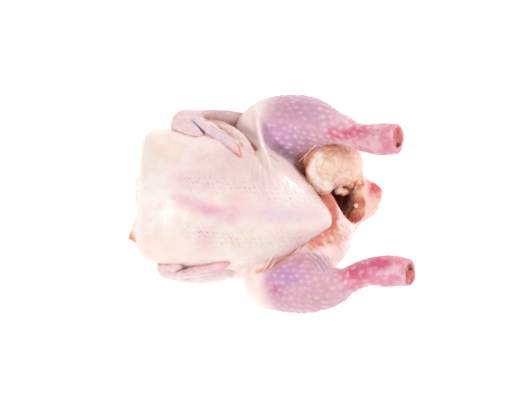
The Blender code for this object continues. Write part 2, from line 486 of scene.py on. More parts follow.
    def surface(self):
        """The surface's points and its four-sided faces, which face outwards."""
        band = 3 * self.voxel
        grid = openvdb.FloatGrid(band)
        grid.copyFromArray(np.clip(self.field, -band, band).astype(np.float32))
        points, _, quads = grid.convertToPolygons(isovalue=0.0, adaptivity=0.0)
        low = np.array([axis[0] for axis in self.axes])
        return points * self.voxel + low, quads


def along_top(clay, path):
    """Stations on the clay's top, from the x, y, half width and depth of each."""
    return [(x, y, clay.top_of(x, y), half, depth) for x, y, half, depth in path]


# -------------------- relief and paint
# Every use of noise or spots has a seed of its own, given last, which keeps them unlike
def hashed(cells, seed):
    """A steady pseudo-random number from -1 to 1 for each whole-numbered cell.

    The large odd factors and the shifts are a usual 32-bit integer hash.
    """
    cells = cells.astype(np.int64)
    mixed = cells[:, 0] * 73856093 ^ cells[:, 1] * 19349663 ^ cells[:, 2] * 83492791
    mixed = (mixed ^ (seed * 2654435761)) & 0xFFFFFFFF
    mixed = ((mixed ^ (mixed >> 15)) * 2246822519) & 0xFFFFFFFF
    mixed = ((mixed ^ (mixed >> 13)) * 3266489917) & 0xFFFFFFFF
    return (mixed ^ (mixed >> 16)) / 2147483647.5 - 1


def noise(points, size, seed):
    """Smooth noise from -1 to 1 with features of about the given size."""
    scaled = points / size + 57.3 * seed
    base = np.floor(scaled)
    part = scaled - base
    ease = part * part * part * (part * (part * 6 - 15) + 10)
    total = np.zeros(len(points))
    for corner in np.ndindex(2, 2, 2):
        corner = np.array(corner)
        weight = np.prod(np.where(corner, ease, 1 - ease), axis=1)
        total += weight * hashed(base + corner, seed)
    return total


def layered_noise(points, size, seed, layers=3):
    """Noise with finer, weaker noise added to it, each layer at half the size."""
    total = sum(noise(points, size / 2**n, seed + n) / 2**n for n in range(layers))
    return total / 1.5


def ramp(value, start, stop):
    """0 before start, 1 after stop, and an S-shaped rise between."""
    t = np.clip((value - start) / (stop - start), 0, 1)
    return t * t * (3 - 2 * t)


def blob(points, middle, radii, turn=0.0):
    """1 at the middle, fading to 0 at the ellipse's or ellipsoid's edge."""
    count = len(middle)
    gap = points[:, :count] - np.asarray(middle, float)
    angle = math.radians(turn)
    x = gap[:, 0] * math.cos(angle) + gap[:, 1] * math.sin(angle)
    y = gap[:, 1] * math.cos(angle) - gap[:, 0] * math.sin(angle)
    gap = np.column_stack([x, y, gap[:, 2:]]) / np.asarray(radii, float)
    return ramp(1 - np.linalg.norm(gap, axis=1), 0, 1)


def path_distance(points, path):
    """For each point: its distance from the path, and how far along that is."""
    path = np.asarray(path, float)
    points = points[:, : path.shape[1]]
    nearest = np.full(len(points), np.inf)
    along = np.zeros(len(points))
    walked = 0.0
    for start, stop in zip(path, path[1:]):
        run = stop - start
        length = np.linalg.norm(run)
        share = np.clip((points - start) @ run / length**2, 0, 1)
        gap = np.linalg.norm(points - start - share[:, None] * run, axis=1)
        closer = gap < nearest
        nearest[closer] = gap[closer]
        along[closer] = (walked + share * length)[closer]
        walked += length
    return nearest, along


def stripe(points, path, width):
    """1 on the path, seen from above, fading to 0 at half the width from it."""
    distance, _ = path_distance(points, path)
    return ramp(1 - distance / (width / 2), 0, 1)


def spots(lattice, jitter, seed):
    """Distance to the nearest spot, where staggered rows of cells hold one spot each."""
    row = np.floor(lattice[:, 1])
    nearest = np.full(len(lattice), np.inf)
    for step in np.ndindex(3, 3):
        line = row + step[1] - 1
        shift = 0.5 * (line % 2)
        cell = np.floor(lattice[:, 0] - shift) + step[0] - 1
        keys = np.column_stack([cell, line, np.zeros(len(cell))])
        spot_x = cell + 0.5 + shift + jitter * hashed(keys, seed)
        spot_y = line + 0.5 + jitter * hashed(keys, seed + 1)
        gap = np.hypot(lattice[:, 0] - spot_x, lattice[:, 1] - spot_y)
        nearest = np.minimum(nearest, gap)
    return nearest


def linear(colour):
    """An sRGB colour of 0..255 as the linear numbers that Blender works in."""
    share = np.asarray(colour, float) / 255
    return np.where(share <= 0.04045, share / 12.92, ((share + 0.055) / 1.055) ** 2.4)


class Sculpt:
    """A mesh in the making: its points in millimetres, faces, tint and named marks."""

    def __init__(self, clay, base):
        self.points, self.quads = clay.surface()
        self.tint = np.tile(linear(base), (len(self.points), 1))
        self.marks = {"raw": np.zeros(len(self.points))}

    def normals(self):
        """The way that the surface faces at each point."""
        corners = self.points[self.quads]
        facing = np.cross(corners[:, 2] - corners[:, 0], corners[:, 3] - corners[:, 1])
        total = np.zeros_like(self.points)
        for side in range(4):
            np.add.at(total, self.quads[:, side], facing)
        return total / (np.linalg.norm(total, axis=1, keepdims=True) + 1e-12)

    def raise_by(self, amount):
        """Moves each point outwards by its amount, in millimetres."""
        self.points = self.points + self.normals() * np.asarray(amount)[:, None]

    def wash(self, colour, strength):
        """Paints over the tint: not at all where strength is 0, and fully where it is 1."""
        strength = np.clip(strength, 0, 1)[:, None]
        self.tint = self.tint * (1 - strength) + linear(colour) * strength

    def patch(self, colour, strength, middle, radii, turn=0.0):
        """Paints an oval or egg-shaped patch, strongest in its middle."""
        self.wash(colour, strength * blob(self.points, middle, radii, turn))

    def stroke(self, colour, strength, path, width):
        """Paints along a path seen from above, strongest on the path."""
        self.wash(colour, strength * stripe(self.points, path, width))

    def mark(self, name, strength):
        """Strengthens a named mark, which the material reads as a number from 0 to 1."""
        before = self.marks.get(name, np.zeros(len(self.points)))
        self.marks[name] = np.maximum(before, np.clip(strength, 0, 1))

    def finished(self, name, material):
        """The object, in metres and at the table's height, riding on the bird."""
        mesh = bpy.data.meshes.new(name)
        points = self.points.copy()
        points[:, 2] = np.maximum(points[:, 2] - SINK, 0)
        mesh.from_pydata((points * MM).tolist(), [], self.quads.tolist())
        mesh.polygons.foreach_set("use_smooth", np.ones(len(self.quads), bool))
        tint = mesh.attributes.new("tint", "FLOAT_COLOR", "POINT")
        colours = np.column_stack([self.tint, np.ones(len(self.tint))])
        tint.data.foreach_set("color", colours.astype(np.float32).ravel())
        for mark, values in self.marks.items():
            layer = mesh.attributes.new(mark, "FLOAT", "POINT")
            layer.data.foreach_set("value", values.astype(np.float32))
        mesh.validate()
        mesh.materials.append(material)
        made = bpy.data.objects.new(name, mesh)
        bpy.context.scene.collection.objects.link(made)
        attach(made, "root")
        return made


# -------------------- materials
class Shader:
    """A material under construction, with short names for the nodes that it uses."""

    def __init__(self, name, **settings):
        self.material = bpy.data.materials.new(name)
        self.material.use_nodes = True
        self.tree = self.material.node_tree
        self.surface = self.tree.nodes["Principled BSDF"]
        self.place = self.node("ShaderNodeTexCoord").outputs["Object"]
        for setting, value in settings.items():
            self.set(self.surface, setting, value)

    def set(self, node, name, value):
        socket = node.inputs[name.replace("_", " ") if isinstance(name, str) else name]
        if isinstance(value, bpy.types.NodeSocket):
            self.tree.links.new(value, socket)
        else:
            socket.default_value = value

    def node(self, kind, options=None, **inputs):
        made = self.tree.nodes.new(kind)
        for option, value in (options or {}).items():
            setattr(made, option, value)
        for name, value in inputs.items():
            self.set(made, name, value)
        return made

    def attribute(self, name, output="Fac"):
        made = self.node("ShaderNodeAttribute", {"attribute_name": name})
        return made.outputs[output]

    def noise(self, size, detail=3.0, distortion=0.0):
        """Noise from 0 to 1 with features of the given size in metres."""
        made = self.node(
            "ShaderNodeTexNoise",
            Vector=self.place,
            Scale=1 / size,
            Detail=detail,
            Distortion=distortion,
        )
        return made.outputs["Fac"]

    def cells(self, size):
        """The distances in a soft pattern of cells of the given size in metres."""
        made = self.node(
            "ShaderNodeTexVoronoi",
            {"feature": "SMOOTH_F1"},
            Vector=self.place,
            Scale=1 / size,
        )
        return made.outputs["Distance"]

    def math(self, operation, first, second=0.0):
        made = self.node("ShaderNodeMath", {"operation": operation})
        self.set(made, 0, first)
        self.set(made, 1, second)
        return made.outputs[0]

    def times(self, first, second):
        return self.math("MULTIPLY", first, second)

    def plus(self, first, second):
        return self.math("ADD", first, second)

    def vector(self, operation, first, second, output="Vector"):
        made = self.node("ShaderNodeVectorMath", {"operation": operation})
        self.set(made, 0, first)
        self.set(made, 1, second)
        return made.outputs[output]

    def reach(self, gap, direction):
        """How far the gap goes in a direction or against it."""
        return self.math("ABSOLUTE", self.vector("DOT_PRODUCT", gap, direction, "Value"))

    def spread(self, value, low, high, start=0.0, stop=1.0):
        """value, spread from low..high to start..stop."""
        made = self.node("ShaderNodeMapRange", Value=value, From_Min=low, From_Max=high)
        self.set(made, "To_Min", start)
        self.set(made, "To_Max", stop)
        return made.outputs[0]

    def mix(self, share, first, second, blend="MIX"):
        """Two colours mixed; a Mix node's inputs 6 and 7 and its output 2 are its colours."""
        made = self.node("ShaderNodeMix", {"data_type": "RGBA", "blend_type": blend})
        self.set(made, 0, share)
        self.set(made, 6, first)
        self.set(made, 7, second)
        return made.outputs[2]

    def streaks(self, width, squeeze):
        """Noise drawn out across the bird into lines of the given width in metres."""
        drawn = self.vector("MULTIPLY", self.place, (1, squeeze, squeeze))
        made = self.node("ShaderNodeTexNoise", Vector=drawn, Scale=1 / width, Detail=2.0)
        return made.outputs["Fac"]

    def ticks(self, spacing=0.0044):
        """Slanting feather ticks seen from above, and the dot where each quill sat.

        Rows of cells slant across the bird. Each tick is a short stroke through the
        middle of its cell, so it is found by the gap from there, along and aside.
        """
        parts = self.node("ShaderNodeSeparateXYZ", Vector=self.place)
        slant = self.times(parts.outputs["Y"], 0.5)
        across = self.plus(parts.outputs["X"], slant)
        flat = self.node("ShaderNodeCombineXYZ", X=across, Y=parts.outputs["Y"]).outputs[0]
        grid = self.node(
            "ShaderNodeTexVoronoi",
            {"voronoi_dimensions": "2D"},
            Vector=flat,
            Scale=1 / spacing,
            Randomness=0.55,
        )
        gap = self.vector("SUBTRACT", flat, grid.outputs["Position"])
        along = self.reach(gap, (0.55, -0.84, 0))
        aside = self.reach(gap, (0.84, 0.55, 0))
        thin = self.spread(aside, 0.0006, 0.0002)
        tick = self.times(thin, self.spread(along, 0.0019, 0.0008))
        distance = self.vector("LENGTH", gap, (0, 0, 0), "Value")
        quill = self.spread(distance, 0.0007, 0.0003)
        return tick, quill

    def bump(self, height, distance):
        made = self.node("ShaderNodeBump", Strength=1.0, Distance=distance, Height=height)
        return made.outputs["Normal"]

    def finish(self, colour, height, distance, roughness=None, film=None):
        """Sets the colour, the bump from height (over distance, in metres) and roughness.

        The wet coat lies smoothly over that bump, or has a bump of its own from film.
        """
        self.set(self.surface, "Base_Color", colour)
        self.set(self.surface, "Normal", self.bump(height, distance))
        if film is not None:
            self.set(self.surface, "Coat_Normal", self.bump(film, distance))
        if roughness is not None:
            self.set(self.surface, "Roughness", roughness)
        return self.material


def rgba(colour):
    """An sRGB colour of 0..255 as the linear colour and opacity that a shader takes."""
    return (*linear(colour), 1.0)


def skin_material():
    """Moist, thin, slightly see-through skin over flesh and fat."""
    skin = Shader(
        "raw_skin",
        Subsurface_Weight=0.2,
        Subsurface_Radius=(1.0, 0.5, 0.4),
        Subsurface_Scale=0.0018,
        Specular_IOR_Level=0.5,
        Coat_Roughness=0.12,
        Coat_IOR=1.42,
    )
    raw = skin.attribute("raw")
    follicle = skin.attribute("follicle")
    tick, quill = skin.ticks()
    tick = skin.times(tick, follicle)

    # colour: the tint, then blotches, a milky film, blood where raw, and the follicles
    colour = skin.attribute("tint", "Color")
    blush = skin.spread(skin.noise(0.012, 4.0, 0.5), 0.45, 0.75, 0.0, 0.3)
    colour = skin.mix(blush, colour, rgba(BLUSH), "MULTIPLY")
    milky = skin.spread(skin.noise(0.0026, 3.0), 0.5, 0.8, 0.0, 0.14)
    milky = skin.times(milky, skin.spread(raw, 0.0, 1.0, 1.0, 0.4))
    colour = skin.mix(milky, colour, rgba(WHITE))
    blood = skin.spread(skin.noise(0.0034, 4.0, 0.8), 0.47, 0.72, 0.0, 0.75)
    colour = skin.mix(skin.times(blood, raw), colour, rgba(SKIN_BLOOD), "MULTIPLY")
    colour = skin.mix(skin.times(tick, 0.15), colour, rgba(TICK))
    rare = skin.spread(skin.noise(0.004, 1.0), 0.57, 0.66)
    dot = skin.times(skin.times(quill, follicle), rare)
    colour = skin.mix(dot, colour, rgba(QUILL))

    # height: pores, fine creases, fibres where raw, ticks, and streaks where stretched
    height = skin.plus(skin.times(skin.noise(0.001, 2.0), 0.6), skin.cells(0.0026))
    fibres = skin.times(skin.noise(0.0016, 4.0, 1.0), raw)
    height = skin.plus(height, skin.times(fibres, 2.0))
    height = skin.plus(height, skin.times(tick, 1.1))
    streaks = skin.times(skin.streaks(0.0009, 0.05), skin.attribute("stretched"))
    height = skin.plus(height, skin.times(streaks, 2.2))

    # wetness: a coat that lies over the pores, thicker in patches and where raw
    film = skin.plus(skin.noise(0.0026, 3.0), skin.times(tick, 0.5))
    wet = skin.spread(skin.noise(0.014, 3.0), 0.42, 0.62, 0.1, 0.5)
    wet = skin.math("MAXIMUM", wet, skin.math("MAXIMUM", raw, skin.attribute("wet")))
    skin.set(skin.surface, "Coat_Weight", wet)
    roughness = skin.spread(skin.noise(0.004, 2.0), 0.3, 0.7, 0.4, 0.6)
    return skin.finish(colour, height, 0.0003, roughness, film)


def fat_material():
    """Soft pale belly fat with faint veins between its lobes."""
    fat = Shader(
        "belly_fat",
        Subsurface_Weight=0.25,
        Subsurface_Radius=(1.0, 0.6, 0.45),
        Subsurface_Scale=0.002,
        Coat_Weight=0.35,
        Coat_Roughness=0.2,
    )
    winding = fat.math("ABSOLUTE", fat.math("SUBTRACT", fat.noise(0.013, 2.0, 0.8), 0.5))
    vein = fat.spread(winding, 0.02, 0.0, 0.0, 0.22)
    colour = fat.mix(vein, fat.attribute("tint", "Color"), rgba(VEIN))
    mottle = fat.spread(fat.noise(0.004, 4.0), 0.45, 0.75, 0.0, 0.35)
    colour = fat.mix(mottle, colour, rgba(FAT_MOTTLE))
    height = fat.plus(fat.noise(0.0015, 3.0), fat.noise(0.006, 2.0))
    roughness = fat.spread(fat.noise(0.003), 0.3, 0.7, 0.34, 0.5)
    return fat.finish(colour, height, 0.0004, roughness)


def flesh_material():
    """Bare wet meat: fibres, pale sinew and dark blood."""
    flesh = Shader(
        "bare_flesh",
        Subsurface_Weight=0.2,
        Subsurface_Radius=(1.0, 0.35, 0.25),
        Subsurface_Scale=0.003,
        Coat_Weight=0.5,
        Coat_Roughness=0.15,
    )
    fibres = flesh.noise(0.0018, 4.0, 1.2)
    sinew = flesh.spread(fibres, 0.5, 0.72, 0.0, 0.3)
    colour = flesh.mix(sinew, flesh.attribute("tint", "Color"), rgba(SINEW))
    blood = flesh.spread(flesh.noise(0.004, 3.0), 0.5, 0.75, 0.0, 0.4)
    colour = flesh.mix(blood, colour, rgba(FLESH_BLOOD), "MULTIPLY")
    height = flesh.plus(fibres, flesh.noise(0.0008, 2.0))
    roughness = flesh.spread(fibres, 0.3, 0.7, 0.28, 0.45)
    return flesh.finish(colour, height, 0.0005, roughness)


# -------------------- the skin
def build_body_clay(low, high):
    """The whole bird but its wings and fat, with the vent and the belly cut out."""
    clay = Clay(low, high, SKIN_VOXEL)
    clay.add(clay.trunk(BACK, 10, 6))
    clay.add(clay.limb(TAIL), 5)
    clay.add(clay.trunk(BREAST, 14, 3), 3)
    clay.add(clay.limb(NECK_SKIN), 2)
    clay.add(clay.limb(LEFT_SHOULDER), 8)
    clay.add(clay.limb(RIGHT_SHOULDER), 8)
    legs = (
        (LEFT_THIGH, LEFT_DRUMSTICK, LEFT_CUT),
        (RIGHT_THIGH, RIGHT_DRUMSTICK, RIGHT_CUT),
    )
    for thigh, drumstick, (point, facing) in legs:
        leg = soft_min(clay.limb(thigh), clay.limb(drumstick), 9)
        leg = -soft_min(-leg, clay.half_space(point, facing), 1.5)
        clay.add(leg, 2.5)
        clay.cut(clay.ball(point, (5, 9, 9)), 1)
    clay.add(clay.limb(LEFT_WEB), 5)
    clay.add(clay.limb(VENT_MUSCLE), 3)
    clay.add(clay.limb(VENT_EDGE), 7)
    clay.cut(clay.limb(THIGH_GAP), 2)
    clay.cut(clay.ball((71, 2, 51), (14, 20, 16)), 2)
    clay.cut(clay.limb(CAVITY), 3)
    clay.cut(clay.half_space((0, 0, SINK), (0, 0, -1)), 1.5)
    return clay


def leg_place(points, stations):
    """How far along a leg each point is, how far round it, and how far outside it."""
    path = resample(stations, 4.0)
    distance, along = path_distance(points, path[:, :3])
    steps = np.linalg.norm(np.diff(path[:, :3], axis=0), axis=1)
    walked = np.concatenate([[0], np.cumsum(steps)])
    middles = np.column_stack([np.interp(along, walked, path[:, i]) for i in range(3)])
    girth = np.interp(along, walked, path[:, 3])
    gap = points - middles
    turn = np.arctan2(gap[:, 1], gap[:, 2])
    return along, turn * girth, distance - girth


def leg_bumps(points, stations):
    """Goose bumps over one leg, from 0 to 1, thinning out towards both its ends."""
    along, around, outside = leg_place(points, stations)
    lattice = np.column_stack([along / 7.6, around / 6])
    near = spots(lattice, 0.3, 7)
    size = 0.28 + 0.1 * noise(points, 9, 8)
    side = np.sign(stations[0][1])
    share = ramp(outside, 6, 2) * ramp(along, 4, 22) * ramp(along, 112, 88)
    return np.exp(-((near / size) ** 2)) * share * (side * points[:, 1] > 28)


def sculpt_skin(clay, wings):
    """The body's surface with its relief, marks and paint, with painted shade where the wings
    touch it.
    """
    skin = Sculpt(clay, PALE)
    points = skin.points
    x, y, z = points.T

    # the skin's own unevenness
    relief = 0.5 * layered_noise(points, 18, 11) + 0.2 * layered_noise(points, 4, 12)

    # goose bumps on the legs, and slanting ticks where the breast's feathers grew
    bumps = leg_bumps(points, LEFT_DRUMSTICK) + leg_bumps(points, RIGHT_DRUMSTICK)
    relief += 0.9 * bumps
    upper_tract = stripe(points, [(-72, 20), (-20, 14), (44, 4)], 34)
    lower_tract = stripe(points, [(-72, -24), (-30, -31), (26, -32)], 30)
    follicle = np.maximum(upper_tract, lower_tract) * ramp(z, 66, 76)
    ticks = np.column_stack([(x + 0.7 * y) / 5.4, (y - 0.45 * x) / 3.6])
    relief += 0.25 * follicle * np.exp(-((spots(ticks, 0.2, 9) / 0.26) ** 2))

    # fine folds pulled from the left knee's skin down over the breast
    knot = np.array([-12.0, 78.0])
    angle = np.arctan2(x - knot[0], knot[1] - y)
    fan = blob(points, (-6, 30), (24, 30)) * ramp(z, 70, 80)
    relief += 0.6 * fan * np.sin(angle * 60 + 2.5 * noise(points, 10, 21))
    pleats = blob(points, (18, -28), (26, 16), 20) * ramp(z, 66, 74)
    skin.mark("stretched", np.maximum(1.6 * fan, pleats))

    # creased skin inside the right thigh, and loose wrinkles over both hocks
    folds = np.sin((x + 0.8 * y) * 1.35 + 4 * noise(points, 9, 23))
    relief += 1.3 * inner_thigh_share(points) * folds
    tail_tip = ramp(x, 76, 86) * (np.abs(y) < 34)
    relief += 0.8 * tail_tip * layered_noise(points * (1, 1.6, 1), 5, 28)
    hocks = ramp(x, 66, 84) * (np.abs(y) > 44)
    relief += 0.35 * hocks * layered_noise(points * (1.8, 1, 1), 5, 25)

    # lumpy walls inside the belly
    inside = belly_share(points)
    relief += 2.6 * inside * layered_noise(points, 10, 26)
    bare = np.maximum(stump_share(points, LEFT_CUT), stump_share(points, RIGHT_CUT))

    skin.mark("follicle", follicle)
    skin.mark("wet", blob(points, (19, 18), (16, 11), -35) * 1.8)
    skin.mark("raw", np.maximum(inside, 0.2 * bare))
    paint_skin(skin, bumps, inside, bare)
    # painted shade in the valleys of the right thigh's folds
    skin.wash(FOLD_SHADE_PINK, 0.6 * inner_thigh_share(points) * ramp(-folds, 0.1, 0.9))
    # painted shade where the wings touch the body
    touch = np.minimum(*(wing.distance_at(points) for wing in wings))
    skin.wash(CONTACT_SHADE_RED, (0.45 + layered_noise(points, 8, 29)) * ramp(touch, 2.2, 0.6))
    skin.raise_by(relief)
    return skin


def stump_share(points, cut):
    """1 on the bare face where a foot was cut off, 0 elsewhere."""
    point, facing = (np.asarray(part, float) for part in cut)
    gap = points - point
    ahead = gap @ unit(facing)
    aside = np.linalg.norm(gap - ahead[:, None] * unit(facing), axis=1)
    return ramp(aside, 9.5, 8.5) * (ahead > -8)


def belly_share(points):
    """1 on the belly cavity's walls, 0 elsewhere."""
    path = resample(CAVITY, 6)
    distance, along = path_distance(points, path[:, :3])
    walked = np.linspace(0, along.max(), len(path))
    size = np.interp(along, walked, path[:, 3:5].max(axis=1))
    return ramp(distance, size + 1.5, size + 0.2) * ramp(points[:, 2], 64, 56)


def inner_thigh_share(points):
    """1 in the middle of the creased skin inside the right thigh, fading outwards."""
    return blob(points, (42, -50), (24, 12), -50)


# Patches of colour on the legs, in the order of painting: colour, strength, how much that
# grows where the skin is ragged, middle, radii and turn in degrees
LEG_PATCHES = [
    (HOCK_PINK, 0.9, 1, (100, 58), (16, 16), 0),
    (THIGH_MAUVE, 0.9, 0, (28, 56), (24, 13), 0),
    (VIOLET, 1.04, 0.78, (10, 62), (32, 18), -12),
    # the left leg's far edge: its own mauve, deepened as painted shade
    (EDGE_SHADE_MAUVE, 1.1, 0, (28, 86), (46, 22), -8),
    (SLATE, 1.5, 0, (17, 46), (20, 8), -20),
    (MAGENTA, 1.9, 0.9, (63, 62), (22, 8), -6),
    (HOCK_RED, 1.1, 1, (76, 66), (16, 10), 0),
    (VIOLET, 1.1, 0.6, (14, -64), (26, 15), 10),
    (ORCHID, 0.9, 1, (4, -76), (18, 9), -20),
    (MAGENTA, 1.7, 0.9, (77, -61), (18, 11), 20),
    (MAGENTA, 1.4, 0.9, (95, -54), (18, 9), 8),
]


def paint_skin(skin, bumps, inside, bare):
    """Paints the skin all over, then the breast, the legs, the painted shade in creases and
    gaps, and the vent.
    """
    points = skin.points
    x, y, z = points.T
    ragged = layered_noise(points, 8, 31, 4)
    speckle = ramp(noise(points, 2.9, 32), 0.2, 0.7)
    top = ramp(z, 50, 70)

    # all over: warmer and rosier patches, as the fat under the skin comes and goes
    skin.wash(CREAM, 0.4 * ramp(noise(points, 30, 33), 0.0, 0.8))
    skin.wash(ROSE, 0.4 * ramp(noise(points, 26, 34), 0.1, 0.9))

    # breast
    # painted shade over the breast's upper side, which faces away from the key lamp
    skin.patch(BREAST_SHADE_GREY, 0.7 * top, (-30, 34), (74, 36))
    skin.patch(BUFF, 0.8, (-98, 48), (34, 20))
    skin.patch(BUFF, 0.7, (-104, -40), (38, 24))
    skin.patch(WHITE, 0.7, (-104, 4), (30, 44))
    skin.patch(LILAC, 0.8 * top, (16, -9), (50, 12))
    keel = [(-84, 4), (-64, -2), (-44, -9), (-34, -10)]
    skin.stroke(ROSE, (0.6 + 0.5 * ragged) * top, keel, 26)
    skin.patch(KEEL_PINK, 0.6 * top, (-54, -6), (20, 8), -18)
    skin.patch(FRONT_LILAC, 1.2, (-121, 16, 66), (12, 26, 26))

    # legs
    for side, stations in ((1, LEFT_DRUMSTICK), (-1, RIGHT_DRUMSTICK)):
        along, _, outside = leg_place(points, stations)
        leg = ramp(outside, 9, 2) * ramp(side * y, 22, 34)
        skin.wash(MAUVE, 0.9 * leg * ramp(along, 4, 24))
        skin.wash(PINK, (0.75 + 0.6 * ragged) * leg * ramp(along, 78, 92))
        skin.wash(HOCK_PALE, 0.7 * leg * ramp(along, 66, 84) * ramp(ragged, 0.1, -0.4))
    # painted light on both knees, over their pale skin: the left one lifted out of its shade,
    # the right one lit by the key lamp
    skin.patch(KNEE_LIT_PALE, 1.7, (-22, 68, 58), (18, 28, 36))
    skin.patch(KNEE_LIT_WHITE, 1.5, (-18, -74, 46), (24, 26, 38))
    for colour, strength, rough, middle, radii, turn in LEG_PATCHES:
        on_side = ramp(math.copysign(1, middle[1]) * y, 20, 30)
        skin.patch(colour, (strength + rough * ragged) * on_side, middle, radii, turn)
    web = [(-13, 74), (-10, 60), (-6, 46), (-2, 34)]
    skin.stroke(WEB_WHITE, 0.9 * ramp(z, 58, 66), web, 9)
    skin.wash(BUMP_PALE, (0.45 + 0.4 * ragged) * bumps)
    skin.wash(FLECK_PALE, 0.45 * speckle * ramp(x, 50, 70) * (np.abs(y) > 44))

    # painted shade in the creases and gaps between the body and its limbs, and the lilac skin
    # inside the right thigh
    right_crease = [(-12, -61), (2, -55), (16, -46), (30, -36)]
    # painted shade along the right crease: a tan band over its orange-brown skin, and a dark
    # line in its bottom
    skin.stroke(CREASE_SHADE_TAN, 0.8, right_crease, 6)
    skin.stroke(CREASE_SHADE_BROWN, 0.5, right_crease[1:], 2.5)
    # painted shadow in the gap between the left wing's flap and the knee
    left_gap_shade = [(-42, 71), (-32, 66), (-22, 57), (-14, 49)]
    skin.stroke(GAP_SHADE_TAN, 0.8 * ramp(z, 98, 88), left_gap_shade, 14)
    skin.stroke(GAP_SHADE_BROWN, 1.2 * ramp(z, 98, 88) * ramp(z, 36, 50), left_gap_shade, 6)
    skin.patch(SHADE_BROWN, 1.8, (28, 34, 60), (13, 16, 26))
    skin.wash(THIGH_LILAC, 0.8 * inner_thigh_share(points))

    # round the vent, inside the belly and where the feet were cut off
    paint_muscle(skin)
    wall = [(74, 30), (77, 20), (75, 8), (74, -4), (70, -16)]
    skin.stroke(RUST, 1.8 * ramp(z, 52, 46) * ramp(z, 28, 33), wall, 12)
    skin.wash(PEACH, inside * ramp(z, 56, 46))
    # painted shade deeper in the belly, over its red flesh: lower down, further in towards
    # the breast's tip, and in the dark hole
    skin.wash(CAVITY_LOW_SHADE, inside * ramp(z, 34, 20))
    skin.wash(CAVITY_DEEP_SHADE, inside * ramp(x, 73, 60))
    skin.patch(CAVITY_HOLE_SHADE, 1.4, (68, 4, 36), (9, 17, 15))
    skin.wash(AMBER, 0.25 * inside * ramp(layered_noise(points, 9, 38), 0.15, 0.5))
    skin.patch(TAIL_PINK, 0.8 * ramp(z, 24, 32), (90, 4), (22, 32))
    skin.patch(SORE_RED, (1.5 + 2 * ragged) * ramp(z, 25, 30), (94, 13), (13, 10), -45)
    skin.patch(ORANGE, 1.6, (-127, -32, 35), (11, 11, 10))
    skin.wash(STUMP_RING, bare)


def paint_muscle(skin):
    """The bared muscle: red by the breast's tip, then streaked with fat, then cream."""
    points = skin.points
    x, y, z = points.T
    path, _ = path_distance(points, [(46, 2), (54, -10), (59, -20), (56, -30), (44, -36)])
    ragged = layered_noise(points, 6, 36)
    bare = ramp(path + 5 * ragged, 15, 10) * ramp(z, 78, 70) * ramp(z, 40, 50)
    bare *= ramp(y - 0.3 * x, -55, -49)
    across = np.column_stack([x + 0.9 * y, 0.25 * (x - y), 0.3 * z])
    streak = layered_noise(across, 4.5, 37)
    skin.wash(MUSCLE, 1.1 * bare)
    skin.wash(MUSCLE_RED, bare * (0.5 + 0.5 * ragged) * ramp(x, 66, 56) * ramp(y, -30, -14))
    skin.wash(MUSCLE_FAT, 0.9 * bare * ramp(streak, -0.1, 0.4) * ramp(y, -18, -30))
    skin.wash(FLAP_CREAM, 1.6 * bare * ramp(x + 2 * ragged, 58, 64))
    flap = 0.8 * ramp(z, 30, 42) * ramp(streak, -0.05, 0.45)
    skin.patch(FLAP_PINK, flap, (68, -34), (18, 22), 40)
    skin.mark("raw", 0.6 * bare)


# -------------------- fat and bare flesh
FAT_PAD = [
    (43, 39, 48, 15, 20),
    (50, 39, 51, 20, 25),
    (58, 37.5, 51, 20.5, 25),
    (64, 35, 48, 18.5, 22),
    (67, 32, 45, 15, 18),
]
FAT_ROLL = [
    (47, 48, 66, 5, 6),
    (41, 41, 68, 6, 7),
    (37, 31, 67, 6.5, 7),
    (40, 21, 65, 7, 7),
    (47, 14, 63, 6.5, 7),
    (53, 20, 66, 5, 6),
]
# Crumbs of fat at the vent: x, y, z and radius
FAT_CRUMBS = [
    (69, 22, 55, 5.5),
    (75, 25, 54, 5),
    (80, 28, 50, 4),
    (79, 21, 49, 3.4),
    (72, 17, 50, 2.8),
    (61, 13, 50, 4.2),
    (66, 11, 46, 4),
    (77, -1.5, 46, 1.5),
]
# The fat that lines the tail's side of the vent
TAIL_WALL = [
    (77, 27, 38, 5, 5),
    (80, 19, 41, 5.5, 6),
    (78, 12, 38, 5, 5),
    (80, 5, 39, 5.5, 6),
    (80, -3, 40.5, 6.5, 6),
    (78, -9, 39.5, 6.5, 6.5),
    (73, -14, 38, 4.5, 4.5),
]
# Along the fold inwards of the roll: x, y, half width and depth
FAT_FOLD = [
    (50, 46, 1, 0.5),
    (45, 38, 1.6, 1.2),
    (43, 30, 1.8, 1.6),
    (47, 26, 2, 2.4),
]


